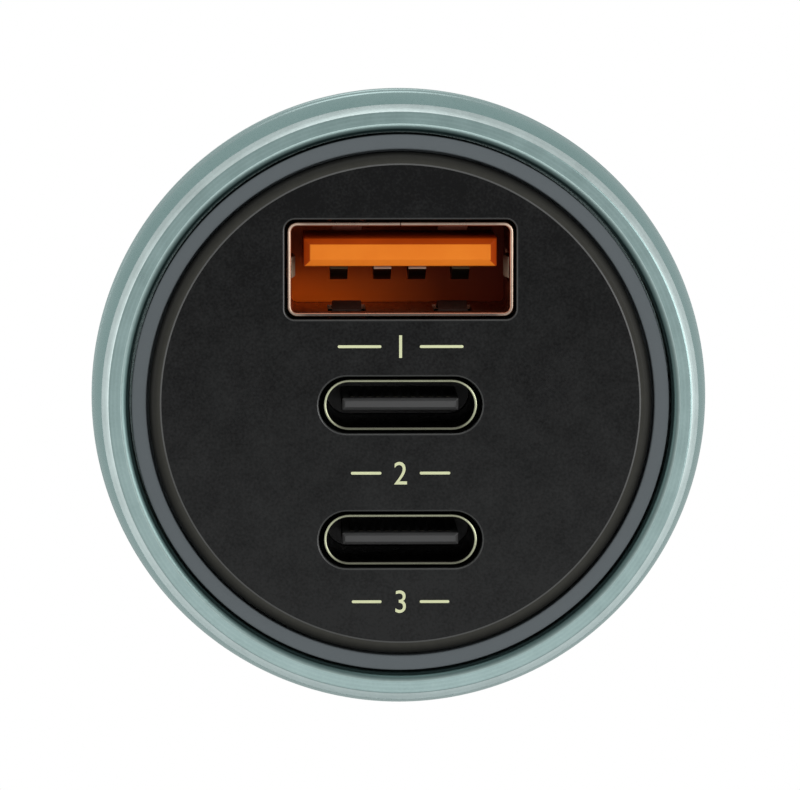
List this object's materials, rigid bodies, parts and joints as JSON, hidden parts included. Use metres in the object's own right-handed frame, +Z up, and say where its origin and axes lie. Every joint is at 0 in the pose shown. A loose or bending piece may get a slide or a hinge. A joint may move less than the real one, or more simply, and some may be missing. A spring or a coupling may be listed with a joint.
{
  "type": "car usb charger plug",
  "caption": "Round car socket charger plug: turned metal head with three charging ports, slim barrel with sprung side contacts and a sprung tip.",
  "frame": {"origin": "on the plug's axis at the shoulder plane where the barrel starts", "axes": "+Y along the barrel towards the tip, -Y out of the face with the ports, +Z up through the USB-A port, +X to the right when looking at the face"},
  "size_m": [0.0358, 0.0826, 0.0358],
  "materials": {
    "brushed_body": "turned aluminium, teal grey, fine axial brushing",
    "frosted_ring": "frosted slate grey light guide",
    "face_black": "matt black moulding with a fine grain",
    "black_plastic": "matt black moulding",
    "orange_plastic": "orange moulded insulator",
    "port_steel": "nickel plated sheet steel",
    "port_steel_warm": "nickel plated sheet steel, warm tone",
    "contact_gold": "gold plated contact strip",
    "plated_contact": "nickel plated spring metal",
    "brass_seat": "plain brass",
    "green_board": "green solder mask on glass fibre board",
    "chip_black": "black moulded chip",
    "ferrite_grey": "pressed ferrite block",
    "capacitor_silver": "bare aluminium can",
    "capacitor_sleeve": "dark plastic sleeve",
    "ceramic_tan": "fired ceramic",
    "fuse_body": "pale ceramic",
    "light_chip": "yellow phosphor chip",
    "sleeve_film": "amber insulating film"
  },
  "bodies": {
    "charger": {"housing": "brushed_body", "light_ring": "frosted_ring", "face_plate": "face_black", "board_carrier": "black_plastic", "port_board": "green_board", "led_chips": "light_chip", "usb_a_shell": "port_steel", "usb_a_tongue": "orange_plastic", "usb_a_contact_1": "contact_gold", "usb_a_contact_2": "contact_gold", "usb_a_contact_3": "contact_gold", "usb_a_contact_4": "contact_gold", "usb_c_upper_shell": "port_steel_warm", "usb_c_upper_tongue": "black_plastic", "usb_c_upper_midplate": "plated_contact", "usb_c_upper_contacts": "contact_gold", "usb_c_lower_shell": "port_steel_warm", "usb_c_lower_tongue": "black_plastic", "usb_c_lower_midplate": "plated_contact", "usb_c_lower_contacts": "contact_gold", "main_board": "green_board", "inductor_1": "ferrite_grey", "inductor_2": "ferrite_grey", "output_capacitor_1": "capacitor_silver", "output_capacitor_2": "capacitor_silver", "input_capacitor": "capacitor_sleeve", "converter_chip_1": "chip_black", "converter_chip_2": "chip_black", "protocol_chip": "chip_black", "power_transistors": "chip_black", "ceramic_capacitors": "ceramic_tan", "fuse": "fuse_body", "insulating_sleeve": "sleeve_film", "nose_cap": "black_plastic", "tip_spring": "plated_contact", "spring_seat": "brass_seat"},
    "tip": {"tip_contact": "plated_contact"},
    "side_contact_left": {"ground_spring_left": "plated_contact"},
    "side_contact_right": {"ground_spring_right": "plated_contact"}
  },
  "joints": [
    {"name": "tip_press", "type": "slide", "parent": "charger", "child": "tip", "axis": [0, -1, 0], "range_m": [0, 0.003], "stiffness_N_per_m": 900, "springref_m": -0.004, "deforming": ["tip_spring"]},
    {"name": "side_contact_left_press", "type": "hinge", "parent": "charger", "child": "side_contact_left", "pos_m": [-0.0085, 0.038, 0], "axis": [0, 0, 1], "range_deg": [0, 6], "stiffness_Nm_per_rad": 0.5, "springref_deg": -1.72},
    {"name": "side_contact_right_press", "type": "hinge", "parent": "charger", "child": "side_contact_right", "pos_m": [0.0085, 0.038, 0], "axis": [0, 0, -1], "range_deg": [0, 6], "stiffness_Nm_per_rad": 0.5, "springref_deg": -1.72}
  ]
}
